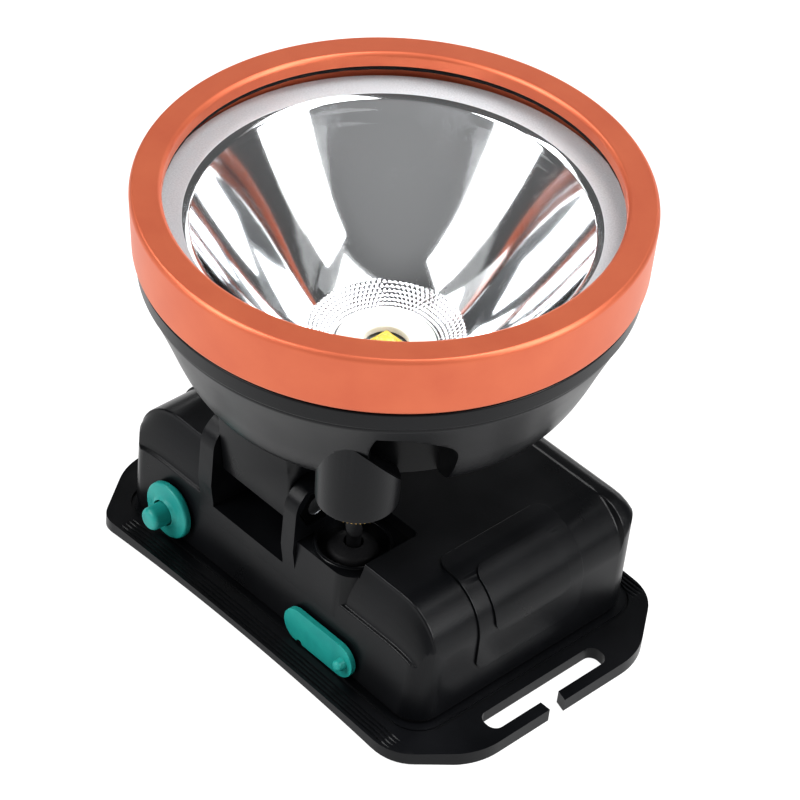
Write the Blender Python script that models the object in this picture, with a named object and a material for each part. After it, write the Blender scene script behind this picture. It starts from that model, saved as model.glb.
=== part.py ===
"""Cap lamp: a swivelling lamp head hinged on a strap-mounted battery box."""

import math

import bmesh
import bpy
from mathutils import Matrix, Vector

MM = 0.001
GAP = 0.3

# Placement of the base frame and of the hinge, in mm
BASE_Y = 5.45
HINGE_Y = -21.5
HINGE_Z = 30.0
HEAD_TILT_DEG = 3.14
HEAD_AXIS_Y = 19.08
RING_TOP_Z = 55.85

# Base plate
PLATE_X, PLATE_Y = 47.25, 32.5
PLATE_CHAMFER_X, PLATE_CHAMFER_Y = 38.1, 19.8
PLATE_EDGE = 2.65
PLATE_ARCH_HALF = 45.0
PLATE_UNDER_ARCH = 2.6
PLATE_TOP_ARCH = 1.35
SLOTS_X = ((-45.5, -41.2), (40.8, 45.0))
SLOT_Y = 14.3

# Box shell
SHELL_X, SHELL_Y, SHELL_TOP = 37.1, 26.0, 26.67
SHELL_CORNER = 5.5
SHELL_END_RADIUS = 9.5
SHELL_WALL = 1.8
SHELL_FOOT = 1.0
CREASE_LOW_Y, CREASE_LOW_Z = 25.5, 17.4
CREASE_TOP_Y = 22.7
CREASE_STEP = 0.65
LEFT_STRETCH = 1.0863  # the box reaches further towards the button's end
BACK_Y, BACK_FILLET, BACK_END_RADIUS, BACK_STEP = 28.0, 3.6, 7.0, 0.3
BLOCK_X0, BLOCK_X1, BLOCK_Y, BLOCK_TOP = -20.0, 18.5, -25.8, 24.0
RECESS_X0, RECESS_X1, RECESS_Y, RECESS_FLOOR = -16.5, 1.9, -15.2, 17.0
LUG_RADIUS = 5.1
LUGS = ((-20.0, -16.5), (1.9, 5.0))
WELL = (11.2, -18.4)
WELL_RADIUS, WELL_FLOOR = 6.3, 22.4
BUTTON = (-26.8, 9.6)
PORT_Z = 7.5
SCREW_X, SCREW_Y = 34.2, 20.0

# Cells
CELL_RADIUS, CELL_HALF, CELL_Z = 9.15, 32.2, 13.8
CELL_YS = (-4.4, 14.2)

# Lamp head, as radius at a depth below the top face of the bezel
BEZEL_R_TOP, BEZEL_R_LOW, BEZEL_H, BEZEL_OPEN = 43.5, 43.0, 11.4, 38.0
REFLECTOR_LIP_R, REFLECTOR_DEPTH, REFLECTOR_FOCUS = 9.2, 32.8, 40.0
BOSS = (19.9, -5.6)
BOSS_RADIUS, BOSS_BOTTOM = 7.0, 16.3
HEAD_STEPS = 48

materials = {
    "black_plastic": ((0.030, 0.031, 0.034), 0.42, 0.0),
    "copper_anodised": ((0.83, 0.26, 0.07), 0.34, 0.9),
    "clear_glass": ((0.92, 0.95, 0.95), 0.05, 0.0),
    "bright_reflector": ((0.86, 0.87, 0.88), 0.12, 1.0),
    "teal_silicone": ((0.03, 0.62, 0.60), 0.45, 0.0),
    "black_rubber": ((0.025, 0.025, 0.027), 0.7, 0.0),
    "white_silicone": ((0.86, 0.84, 0.76), 0.55, 0.0),
    "steel": ((0.62, 0.63, 0.65), 0.3, 1.0),
    "brass": ((0.78, 0.57, 0.22), 0.28, 1.0),
    "aluminium": ((0.75, 0.76, 0.78), 0.35, 1.0),
    "green_board": ((0.03, 0.25, 0.12), 0.4, 0.0),
    "cell_wrap": ((0.10, 0.20, 0.55), 0.35, 0.0),
    "led_phosphor": ((0.95, 0.83, 0.25), 0.4, 0.0),
}


def clear_scene():
    for obj in list(bpy.data.objects):
        bpy.data.objects.remove(obj)


def material(name):
    found = bpy.data.materials.get(name)
    if found:
        return found
    colour, roughness, metallic = materials[name]
    found = bpy.data.materials.new(name)
    found.use_nodes = True
    shader = found.node_tree.nodes["Principled BSDF"]
    shader.inputs["Base Color"].default_value = (*colour, 1.0)
    shader.inputs["Roughness"].default_value = roughness
    shader.inputs["Metallic"].default_value = metallic
    return found


def empty(name, y, z, tilt=0.0):
    obj = bpy.data.objects.new(name, None)
    obj.location = (0, y * MM, z * MM)
    obj.rotation_euler = (math.radians(tilt), 0, 0)
    bpy.context.collection.objects.link(obj)
    return obj


def place(name, bm, parent, look, origin=(0, 0, 0)):
    """Make an object from a mesh given in mm in its parent's frame, with its own origin."""
    bmesh.ops.remove_doubles(bm, verts=bm.verts, dist=1e-4)
    bmesh.ops.recalc_face_normals(bm, faces=bm.faces)
    origin = Vector(origin)
    bmesh.ops.translate(bm, verts=bm.verts, vec=-origin)
    bmesh.ops.scale(bm, verts=bm.verts, vec=(MM, MM, MM))
    mesh = bpy.data.meshes.new(name)
    bm.to_mesh(mesh)
    bm.free()
    mesh.shade_smooth()
    mesh.set_sharp_from_angle(angle=math.radians(35))
    obj = bpy.data.objects.new(name, mesh)
    obj.location = origin * MM
    obj.parent = parent
    bpy.context.collection.objects.link(obj)
    if look:
        mesh.materials.append(material(look))
    return obj


def boolean(obj, operation, bm):
    """Add a live Boolean whose other shape is a hidden wire helper."""
    count = len(obj.modifiers) + 1
    helper = place(f"{obj.name}_{operation.lower()}_{count}", bm, obj.parent, None)
    helper.hide_render = True
    helper.display_type = "WIRE"
    modifier = obj.modifiers.new(f"{operation.lower()} {count}", "BOOLEAN")
    modifier.operation = operation
    modifier.solver = "EXACT"
    modifier.object = helper


def cut(obj, *shapes):
    for shape in shapes:
        boolean(obj, "DIFFERENCE", shape)


def join(obj, *shapes):
    for shape in shapes:
        boolean(obj, "UNION", shape)


def loft(sections):
    """Bridge closed sections of 3D points and cap both ends."""
    bm = bmesh.new()
    rings = [[bm.verts.new(point) for point in section] for section in sections]
    for low, high in zip(rings, rings[1:]):
        for i in range(len(low)):
            j = (i + 1) % len(low)
            bm.faces.new((low[i], low[j], high[j], high[i]))
    bm.faces.new(rings[0])
    bm.faces.new(rings[-1])
    return bm


def prism(outline, low, high, axis="z"):
    """Extrude a 2D outline: (x, y) along z, (x, z) along y, or (y, z) along x."""
    order = {
        "z": lambda u, v, w: (u, v, w),
        "y": lambda u, v, w: (u, w, v),
        "x": lambda u, v, w: (w, u, v),
    }[axis]
    return loft([[order(u, v, w) for u, v in outline] for w in (low, high)])


def block(x0, x1, y0, y1, z0, z1):
    return prism([(x0, y0), (x1, y0), (x1, y1), (x0, y1)], z0, z1)


def arc(cu, cv, radius, start, end, steps):
    angles = [math.radians(start + (end - start) * i / steps) for i in range(steps + 1)]
    return [(cu + radius * math.cos(a), cv + radius * math.sin(a)) for a in angles]


def circle(cu, cv, radius, steps=24):
    return arc(cu, cv, radius, 0, 360 - 360 / steps, steps - 1)


def rounded_rect(hu, hv, radius, cu=0.0, cv=0.0, steps=4):
    points = []
    for su, sv, start in ((1, 1, 0), (-1, 1, 90), (-1, -1, 180), (1, -1, 270)):
        points += arc(cu + su * (hu - radius), cv + sv * (hv - radius), radius, start, start + 90, steps)
    return points


def oblong(u0, u1, cv, radius, steps=8):
    right = arc(u1 - radius, cv, radius, -90, 90, steps)
    return right + arc(u0 + radius, cv, radius, 90, 270, steps)


def turned(profile, steps=HEAD_STEPS, centre=(0.0, 0.0)):
    """Spin a closed loop of (radius, z) about a vertical axis; radius 0 closes onto the axis."""
    bm = bmesh.new()
    verts = [bm.verts.new((r, 0, z)) for r, z in profile]
    edges = [bm.edges.new((a, b)) for a, b in zip(verts, verts[1:])]
    if min(r for r, z in profile) > 0:
        edges.append(bm.edges.new((verts[-1], verts[0])))
    bmesh.ops.spin(
        bm, geom=verts + edges, cent=(0, 0, 0), axis=(0, 0, 1), angle=2 * math.pi, steps=steps
    )
    bmesh.ops.remove_doubles(bm, verts=bm.verts, dist=1e-4)
    bmesh.ops.translate(bm, verts=bm.verts, vec=(*centre, 0))
    return bm


def facing(bm, axis, at):
    """Turn a shape spun about z so that its axis is x or y, and move it."""
    turn = {"x": Matrix.Rotation(math.pi / 2, 3, "Y"), "y": Matrix.Rotation(math.pi / 2, 3, "X")}[axis]
    bmesh.ops.rotate(bm, verts=bm.verts, cent=(0, 0, 0), matrix=turn)
    bmesh.ops.translate(bm, verts=bm.verts, vec=at)
    return bm


def arch(x, height):
    inside = max(0.0, 1 - (x / PLATE_ARCH_HALF) ** 2)
    return height * inside


def plate_top(x):
    return PLATE_EDGE + arch(x, PLATE_TOP_ARCH)


def stations(limit, count):
    return [limit * (2 * i / count - 1) for i in range(count + 1)]


def arched_slab(half_x, half_y, low, high):
    """A slab whose faces lie at fixed heights over the plate's arched top."""
    sections = []
    for x in stations(half_x, 14):
        z = plate_top(x)
        sections.append([(x, -half_y, z + low), (x, half_y, z + low), (x, half_y, z + high), (x, -half_y, z + high)])
    return loft(sections)


def base_plate(frame):
    xs = [-PLATE_X - 1, -PLATE_ARCH_HALF] + stations(42.0, 14) + [PLATE_ARCH_HALF, PLATE_X + 1]
    wide = PLATE_Y + 1
    sections = []
    for x in xs:
        low, high = arch(x, PLATE_UNDER_ARCH), plate_top(x)
        sections.append([(x, -wide, low), (x, wide, low), (x, wide, high), (x, -wide, high)])
    plate = place("base_plate", loft(sections), frame, "black_plastic")
    corner = ((PLATE_X, PLATE_CHAMFER_Y), (PLATE_CHAMFER_X, PLATE_Y))
    outline = []
    for sx, sy in ((1, 1), (-1, 1), (-1, -1), (1, -1)):
        pair = [(sx * x, sy * y) for x, y in corner]
        outline += softened(pair if sx * sy > 0 else pair[::-1], sx, sy)
    boolean(plate, "INTERSECT", prism(outline, -2, 8))
    for side, (x0, x1) in zip((-1, 1), SLOTS_X):
        slot = rounded_rect((x1 - x0) / 2, SLOT_Y, 1.6, (x0 + x1) / 2, 0)
        slit = [(44, -3), (48, -3), (48, 0.2), (44, 1.7)]
        cut(plate, prism(slot, -2, 8), prism([(side * x, y) for x, y in slit], -2, 8))
    for at in screw_places():
        cut(plate, turned([(0, 8), (1.2, 8), (1.2, 2.7), (2.3, 2.7), (2.3, -2), (0, -2)], 20, at))
    return plate


def softened(pair, sx, sy):
    """Replace each chamfer vertex by two nearby points so that the corner reads as rounded."""
    soft = 2.0
    points = []
    for x, y in pair:
        if abs(x) == PLATE_X:
            close = [(x, y - sy * soft), (x - sx * soft * 0.58, y + sy * soft * 0.81)]
        else:
            close = [(x + sx * soft * 0.58, y - sy * soft * 0.81), (x - sx * soft, y)]
        points += close if sx * sy > 0 else close[::-1]
    return points


def corners():
    return [(sx, sy) for sx in (-1, 1) for sy in (-1, 1)]


def screw_places():
    return [(boxed(sx * SCREW_X, 0)[0], sy * SCREW_Y) for sx, sy in corners()]


def boxed(x, y):
    """Carry a point of the even outline onto the box, which is longer on the left and deeper behind."""
    return (x * LEFT_STRETCH if x < 0 else x, y * BACK_Y / SHELL_Y if y > 0 else y)


def box_outline(half_x, half_y, radius):
    return [boxed(x, y) for x, y in rounded_rect(half_x, half_y, radius, steps=5)]


def back_section(x, inset):
    """The shell's back: a plain wall with a round shoulder, whose end is tighter than the lid's."""
    radius = BACK_END_RADIUS - inset
    past = min(max(0.0, abs(x) - (SHELL_X - BACK_END_RADIUS)), radius)
    top = SHELL_TOP - BACK_STEP - BACK_END_RADIUS + math.sqrt(radius**2 - past**2)
    wall, round_off = BACK_Y - inset, BACK_FILLET - inset / 2
    shoulder = arc(wall - round_off, top - round_off, round_off, 90, 0, 4)
    return [(CREASE_TOP_Y - inset + 0.1, top)] + shoulder


def shell_section(x, inset):
    """The shell's section at x, thinned by inset on every outer face."""
    end = SHELL_X - SHELL_END_RADIUS
    radius = SHELL_END_RADIUS - inset
    past = min(max(0.0, abs(x) - end), radius)
    top = SHELL_TOP - SHELL_END_RADIUS + math.sqrt(radius**2 - past**2)
    drop = SHELL_TOP - inset - top
    crease = min(CREASE_LOW_Z - 0.35 * drop, top - 1.0)
    foot = plate_top(x) + SHELL_FOOT if inset == 0 else -2.0
    rise = top - CREASE_STEP - crease
    half = [
        (SHELL_Y - inset, foot),
        (CREASE_LOW_Y - inset, crease),
        (CREASE_LOW_Y - CREASE_STEP - inset, crease + 0.1),
        (CREASE_LOW_Y - CREASE_STEP - inset - 0.6, crease + 0.1 + 0.5 * rise),
        (CREASE_TOP_Y - inset, top - CREASE_STEP),
        (CREASE_TOP_Y - inset - 0.1, top),
    ]
    back = back_section(x, inset) + [(BACK_Y - inset, foot)]
    across = [(-y, z) for y, z in half] + [(CREASE_TOP_Y - inset - 0.1, top)] + back
    return [(boxed(x, 0)[0], y, z) for y, z in across]


def shell_body(inset):
    ends = [SHELL_X - SHELL_END_RADIUS * (1 - f) for f in (0, 0.3, 0.5, 0.68, 0.82, 0.93, 1.0)]
    limit = SHELL_X - inset
    xs = [x for x in ends if x < limit] + [limit + (0.5 if inset == 0 else 0)]
    xs = [-x for x in reversed(xs)] + [0.0] + xs
    return loft([shell_section(x, inset) for x in xs])


def end_panel(side, half_y, x_start, z_end, height):
    """A raised strip that runs over the rounded end of the shell."""
    end = SHELL_X - SHELL_END_RADIUS
    centre_z = SHELL_TOP - SHELL_END_RADIUS

    def skin(offset):
        curve = arc(end, centre_z, SHELL_END_RADIUS + offset, 90, 0, 10)
        path = [(x_start, centre_z + SHELL_END_RADIUS + offset)] if x_start < end else []
        curve = [p for p in curve if p[0] > x_start]
        return path + curve + [(SHELL_X + offset, z_end)]

    outline = skin(height) + list(reversed(skin(-1.2)))
    return prism([(boxed(side * x, 0)[0], z) for x, z in outline], -half_y, half_y, "y")


def lug(x0, x1):
    foot = BLOCK_TOP - 3
    outline = [(HINGE_Y + LUG_RADIUS, foot)] + arc(HINGE_Y, HINGE_Z, LUG_RADIUS, 0, 180, 12)
    outline.append((HINGE_Y - LUG_RADIUS, foot))
    return prism(outline, x0, x1, "x")


def box_shell(frame):
    shell = place("box_shell", shell_body(0), frame, "black_plastic")
    boolean(shell, "INTERSECT", prism(box_outline(SHELL_X, SHELL_Y + 0.05, SHELL_CORNER), -1, 40))
    for side in (-1, 1):
        join(shell, end_panel(side, 12.7, 25.1, 9.9, 0.4), end_panel(side, 9.1, 30.4, 17.0, 0.8))
    cut(shell, block(BLOCK_X0 + 0.1, BLOCK_X1 - 0.1, -40, -10, BLOCK_TOP, 40))
    front = [(BLOCK_X0, -12), (BLOCK_X0, BLOCK_Y)]
    front += arc(BLOCK_X1 - 4, BLOCK_Y + 4, 4, -90, 0, 6) + [(BLOCK_X1, -12)]
    join(shell, prism(front, 14.0, BLOCK_TOP))
    for x0, x1 in LUGS:
        join(shell, lug(x0, x1))
    cut(shell, block(RECESS_X0, RECESS_X1, -40, RECESS_Y, RECESS_FLOOR, 25))
    cut(shell, shell_cavity())
    for at in screw_places():
        foot = plate_top(at[0]) + SHELL_FOOT
        join(shell, turned([(0, 13.5), (1.6, 13.5), (1.6, foot), (0, foot)], 20, at))
        cut(shell, turned([(0, 12.5), (1.2, 12.5), (1.2, -2), (0, -2)], 20, at))
    well = [(0, 40), (WELL_RADIUS, 40), (WELL_RADIUS, WELL_FLOOR), (3.9, WELL_FLOOR), (3.9, 17.4)]
    cut(shell, turned(well + [(1.9, 17.4), (1.9, 10), (0, 10)], 32, WELL))
    cut(shell, prism(circle(*BUTTON, 4.6), -30, -22, "y"))
    cut(shell, prism(rounded_rect(4.5, 1.8, 1.7, 15.0, PORT_Z), -30, -22, "y"))
    x0, x1 = LUGS[0][0] - 1, LUGS[1][1] + 1
    cut(shell, prism(circle(HINGE_Y, HINGE_Z, 2.3), x0, x1, "x"))
    cut(shell, prism(circle(HINGE_Y, HINGE_Z, 3.7), x0, LUGS[0][0] + 2.1, "x"))
    cut(shell, prism(circle(HINGE_Y, HINGE_Z, 4.3, 6), LUGS[1][1] - 2.0, x1, "x"))
    return shell


def shell_cavity():
    """The hollow under the shell: full height over the cells, low in front under the bracket."""
    hollow = shell_body(SHELL_WALL)
    cutter = place("shell_hollow", hollow, None, None)
    for shape in (
        block(-20.5, 19.5, -40, -13.75, 15.3, 40),
        turned([(0, 40), (WELL_RADIUS + 1.3, 40), (WELL_RADIUS + 1.3, 21.1), (0, 21.1)], 32, WELL),
        block(-50, 50, -40, -9.5, 22.4, 40),
    ):
        boolean(cutter, "DIFFERENCE", shape)
    graph = bpy.context.evaluated_depsgraph_get()
    made = bmesh.new()
    made.from_mesh(cutter.evaluated_get(graph).to_mesh())
    for modifier in cutter.modifiers:
        bpy.data.objects.remove(modifier.object)
    bpy.data.objects.remove(cutter)
    bmesh.ops.scale(made, verts=made.verts, vec=(1 / MM, 1 / MM, 1 / MM))
    return made


def base_seal(frame):
    seal = place("base_seal", arched_slab(SHELL_X + 5, SHELL_Y + 3, 0.25, 0.75), frame, "black_rubber")
    boolean(seal, "INTERSECT", prism(box_outline(36.7, 25.6, 5.0), 0, 9))
    cut(seal, prism(box_outline(35.5, 24.4, 3.8), -1, 9))


def base_screws(frame):
    profile = [(0, 11.8), (0.9, 11.8), (0.9, 2.4), (1.9, 2.4), (1.9, 1.5), (0, 1.5)]
    for number, centre in enumerate(screw_places(), 1):
        place(f"base_screw_{number}", turned(profile, 16, centre), frame, "steel", (*centre, 0))


def battery(frame):
    for number, y in enumerate(CELL_YS, 1):
        long = CELL_HALF - 1.2
        profile = [(0, CELL_HALF), (3, CELL_HALF), (3, long), (8.6, long), (CELL_RADIUS, long - 0.5)]
        profile += [(CELL_RADIUS, 0.5 - CELL_HALF), (8.6, -CELL_HALF), (0, -CELL_HALF)]
        bm = facing(turned(profile, 32), "x", (0, y, CELL_Z))
        place(f"battery_cell_{number}", bm, frame, "cell_wrap")
    for number, side in enumerate((-1, 1), 1):
        x0, x1 = sorted((side * 32.5, side * 32.9))
        place(f"contact_strip_{number}", block(x0, x1, -8, 17.5, 9, 18.5), frame, "steel")


def electronics(frame):
    place("control_board", block(-30, 30, -16.2, -14.8, 5.2, 15.0), frame, "green_board")
    bx, bz = BUTTON
    switch = place("tact_switch", block(bx - 3, bx + 3, -23.1, -16.5, bz - 3, bz + 3), frame, "black_plastic")
    join(switch, facing(turned([(0, 0.4), (1.5, 0.4), (1.5, -1), (0, -1)], 16), "y", (bx, -23.1, bz)))
    body = prism(rounded_rect(4.2, 1.7, 1.5, 15.0, PORT_Z), -23.6, -16.5, "y")
    socket = place("charge_socket", body, frame, "steel")
    cut(socket, prism(rounded_rect(3.7, 1.2, 1.1, 15.0, PORT_Z), -30, -18.5, "y"))


def button(frame):
    bx, bz = BUTTON
    flange = [(2.6, 0), (4.2, 0), (4.2, 1.9), (5.9, 1.9), (5.9, 3.4), (5.2, 4.1), (2.6, 4.1)]
    boot = facing(turned(flange, 32), "y", (bx, -24.4, bz))
    place("button_boot", boot, frame, "teal_silicone")
    nub = [(0, 0), (2.2, 0), (2.2, 6.6), (1.7, 7.3), (0, 7.5)]
    plunger = facing(turned(nub, 24), "y", (bx, -24.4, bz))
    place("button_plunger", plunger, frame, "teal_silicone", (bx, -24.4, bz))


def port_plug(frame):
    pin = (5.6, -26.8, PORT_Z)
    body = prism(oblong(5.0, 22.3, PORT_Z, 3.4), -27.3, -26.3, "y")
    plug = place("port_plug", body, frame, "teal_silicone", pin)
    join(plug, prism(rounded_rect(4.0, 1.5, 1.4, 15.0, PORT_Z), -26.8, -24.1, "y"))
    join(plug, facing(turned([(0, 0), (1.0, 0), (1.0, 1.9), (0, 2.2)], 16), "y", (20.0, -26.9, PORT_Z)))
    cut(plug, prism(circle(9.2, PORT_Z - 3.6, 0.8, 12), -28, -26, "y"))


def lead(frame):
    grommet = [(1.65, 17.7), (3.6, 17.7), (3.6, 22.7), (4.6, 22.7), (4.2, 23.7), (2.6, 24.6), (1.65, 24.6)]
    place("lead_grommet", turned(grommet, 24, WELL), frame, "black_rubber")
    x, y = WELL
    route = [(19.9, -28.15, 49.0), (19.9, -27.95, 45.4), (19.3, -27.2, 41), (17.2, -25.2, 36)]
    route += [(14.4, -21.8, 31.5), (12.0, -19.2, 28), (x, y, 24.5), (x, y, 20.5), (x, y, 16.6)]
    points = [Vector(p) for p in route]
    padded = [2 * points[0] - points[1]] + points + [2 * points[-1] - points[-2]]
    curve = bpy.data.curves.new("power_lead", "CURVE")
    curve.dimensions = "3D"
    curve.bevel_depth = 1.3 * MM
    curve.bevel_resolution = 2
    curve.use_fill_caps = True
    smooth = []
    for a, b, c, d in zip(padded, padded[1:], padded[2:], padded[3:]):
        for t in (0, 0.5):
            smooth.append(catmull(a, b, c, d, t))
    smooth.append(points[-1])
    spline = curve.splines.new("POLY")
    spline.points.add(len(smooth) - 1)
    for knot, point in zip(spline.points, smooth):
        knot.co = (*(point * MM), 1)
    curve.materials.append(material("black_rubber"))
    obj = bpy.data.objects.new("power_lead", curve)
    obj.parent = frame
    bpy.context.collection.objects.link(obj)


def catmull(a, b, c, d, t):
    return 0.5 * (2 * b + (c - a) * t + (2 * a - 5 * b + 4 * c - d) * t**2 + (3 * b - a - 3 * c + d) * t**3)


def hinge_hardware(frame):
    at = (0, HINGE_Y, HINGE_Z)
    x0, x1 = LUGS[0][0], LUGS[1][1]
    profile = [(0, x1 - 0.1), (2.0, x1 - 0.1), (2.0, x0 + 1.8), (3.4, x0 + 1.8), (3.4, x0 + 0.1), (0, x0 + 0.1)]
    screw = place("hinge_screw", facing(turned(profile, 24), "x", at), frame, "steel", at)
    cut(screw, facing(turned([(0, x0 + 1.1), (1.5, x0 + 1.1), (1.5, x0 - 2), (0, x0 - 2)], 6), "x", at))
    nut = place("hinge_nut", prism(circle(HINGE_Y, HINGE_Z, 4.0, 6), x1 - 1.7, x1 - 0.1, "x"), frame, "steel", at)
    cut(nut, prism(circle(HINGE_Y, HINGE_Z, 2.3), x1 - 5, x1 + 5, "x"))


def depth(profile):
    """Turn (radius, depth below the bezel's face) into (radius, height in the head's frame)."""
    return [(r, RING_TOP_Z - d) for r, d in profile]


def about_head(profile, steps=HEAD_STEPS):
    return turned(depth(profile), steps, (0, HEAD_AXIS_Y))


def reflector_radius(d):
    return math.sqrt(REFLECTOR_LIP_R**2 + REFLECTOR_FOCUS * (REFLECTOR_DEPTH - d))


def bezel_and_lens(pivot):
    face = [(BEZEL_OPEN, 0.5), (BEZEL_OPEN + 0.5, 0), (BEZEL_R_TOP - 0.6, 0), (BEZEL_R_TOP, 0.6)]
    foot = [(BEZEL_R_LOW, BEZEL_H - 0.4), (BEZEL_R_LOW - 0.4, BEZEL_H), (40.6, BEZEL_H), (40.6, 2.8)]
    place("bezel_ring", about_head(face + foot + [(BEZEL_OPEN, 2.8)]), pivot, "copper_anodised")
    place("lens_gasket", about_head([(38.3, 3.05), (39.9, 3.05), (39.9, 3.6), (38.3, 3.6)]), pivot, "black_rubber")
    place("lens", about_head([(0, 3.85), (39.9, 3.85), (39.9, 5.7), (0, 5.7)]), pivot, "clear_glass")


def reflector(pivot):
    inner = [(reflector_radius(d), d) for d in (7.2, 9.5, 12, 15, 18, 21, 24, 27, 30, REFLECTOR_DEPTH)]
    outer = [(r + 0.9, d) for r, d in reversed(inner[1:])]
    rim = [(39.9, 7.0), (39.9, 6.0), (34.6, 6.0)]
    loop = [(r, d) for r, d in inner] + outer + [(reflector_radius(7.2) + 1.3, 7.6), (37.4, 7.0)] + rim
    place("reflector", about_head(loop), pivot, "bright_reflector")


def light_engine(pivot):
    axis = (0, HEAD_AXIS_Y)
    emitter = prism(rounded_rect(2.5, 2.5, 0.3, *axis, steps=2), RING_TOP_Z - 34.05, RING_TOP_Z - 33.2)
    led = place("led_emitter", emitter, pivot, "led_phosphor")
    dome = [(0, 31.6), (1.1, 31.9), (1.8, 32.7), (1.9, 33.6), (0, 33.6)]
    join(led, about_head(dome, 20))
    place("led_centring_ring", about_head([(3.9, 32.5), (8.7, 32.5), (8.7, 33.9), (3.9, 33.9)], 32), pivot, "white_silicone")
    board = place("led_star_board", about_head([(0, 34.35), (12.4, 34.35), (12.4, 35.9), (0, 35.9)], 32), pivot, "aluminium")
    sink = place("heat_sink_disc", about_head([(0, 36.2), (12.6, 36.2), (12.6, 40.9), (0, 40.9)], 32), pivot, "aluminium")
    for number, side in enumerate((-1, 1), 1):
        at = (side * 10.6, HEAD_AXIS_Y)
        for piece in (board, sink):
            cut(piece, turned(depth([(0, 30), (1.2, 30), (1.2, 39.9), (0, 39.9)]), 16, at))
        screw = depth([(0, 33.3), (1.6, 33.3), (1.6, 34.1), (0.9, 34.1), (0.9, 39.4), (0, 39.4)])
        place(f"board_screw_{number}", turned(screw, 16, at), pivot, "steel")


def niche():
    """The arched pocket beside the cable boss, cut inwards from the cone."""
    low, high, cutter = 13.0, RING_TOP_Z - 19.0, []
    for z, start in ((low, 42), (high - 9, 42), (high - 5, 42.4), (high - 2.2, 43), (high, 44)):
        end = 64.5 if z < high - 5 else 64.5 - 1.2 * (z - high + 5) ** 1.5
        end = max(end, start + 6)
        section = []
        for radius, first, last in ((50, start, end), (28.5, end, start)):
            for i in range(9):
                angle = math.radians(first + (last - first) * i / 8 - 90)
                section.append((radius * math.cos(angle), HEAD_AXIS_Y + radius * math.sin(angle), z))
        cutter.append(section)
    return loft(cutter)


def head_housing(pivot):
    outside = [(0, 7.3), (40.3, 7.3), (40.3, 8.8), (39.3, 8.8), (39.3, 10.2), (40.3, 10.2), (40.3, 11.7), (42.6, 11.7)]
    outside += [(42.2, 15.2), (41.6, 15.5), (41.6, 16.2), (40.0, 20), (38.4, 24), (36.9, 28), (35.6, 31)]
    outside += [(34.4, 33.2), (32.8, 35), (30.2, 36.4), (27, 37), (14.6, 37.1), (14.6, 42.4), (14, 43)]
    housing = place("head_housing", about_head(outside + [(0, 43)]), pivot, "black_plastic")
    cut(housing, niche())
    x, y = BOSS
    foot = BOSS_BOTTOM
    boss = [(0, foot), (BOSS_RADIUS - 0.6, foot), (BOSS_RADIUS, foot + 0.6), (BOSS_RADIUS, 34.5), (0, 37.5)]
    join(housing, sloped(turned(boss, 32, BOSS)), knuckle())
    hollow = [(0, 0), (37.9, 0), (37.9, 12.5), (29.6, 17.0), (26.8, 19.0), (26.8, 35.2), (13.1, 35.2)]
    cut(housing, about_head(hollow + [(13.1, 41.2), (0, 41.2)]))
    cut(housing, prism(circle(0, 0, 2.3), -30, 20, "x"))
    cut(housing, turned([(0, 0), (6.0, 0), (6.0, foot + 2.4), (1.8, foot + 2.4), (1.8, 43), (0, 43)], 24, BOSS))


def sloped(boss):
    """Slant the boss's top so that it dips with the bowl beside the pocket."""
    for vert in boss.verts:
        if vert.co.z > 30:
            vert.co.z = max(20.5, 29.3 - 1.16 * (vert.co.y + 8.2))
    return boss


def knuckle():
    """The hinge arm: round below, its front leaning out on the way up to the bowl."""
    top = RING_TOP_Z - 36.0
    back = arc(0, 0, 5.2, 0, -62, 6)
    outline = [(5.2, top)] + back + [(-2.96, -4.65), (-4.28, 7.75), (-5.65, top)]
    arm = prism(outline, -16.2, 1.6, "x")
    edges = [e for e in arm.edges if all(v.co.x > 1.5 and v.co.y < -2 for v in e.verts)]
    bmesh.ops.bevel(arm, geom=edges, offset=1.2, segments=3, profile=0.5, affect="EDGES")
    return arm


def head_trim(pivot):
    seal = [(39.6, 9.1), (40.3, 9.1), (40.3, 9.9), (39.6, 9.9)]
    place("housing_o_ring", about_head(seal), pivot, "black_rubber")
    foot = BOSS_BOTTOM
    collar = [(1.7, foot + 2.1), (5.7, foot + 2.1), (5.7, foot - 1.0), (5.1, foot - 1.5), (1.7, foot - 1.5)]
    place("gland_collar", turned(collar, 32, BOSS), pivot, "brass")


def main():
    clear_scene()
    frame = empty("base_frame", BASE_Y, 0)
    pivot = empty("head_pivot", BASE_Y + HINGE_Y, HINGE_Z, HEAD_TILT_DEG)
    base_plate(frame)
    box_shell(frame)
    base_seal(frame)
    base_screws(frame)
    battery(frame)
    electronics(frame)
    button(frame)
    port_plug(frame)
    lead(frame)
    hinge_hardware(frame)
    bezel_and_lens(pivot)
    reflector(pivot)
    light_engine(pivot)
    head_housing(pivot)
    head_trim(pivot)


main()
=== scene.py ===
import math
import bmesh
import bpy
from mathutils import Matrix, Vector


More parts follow.
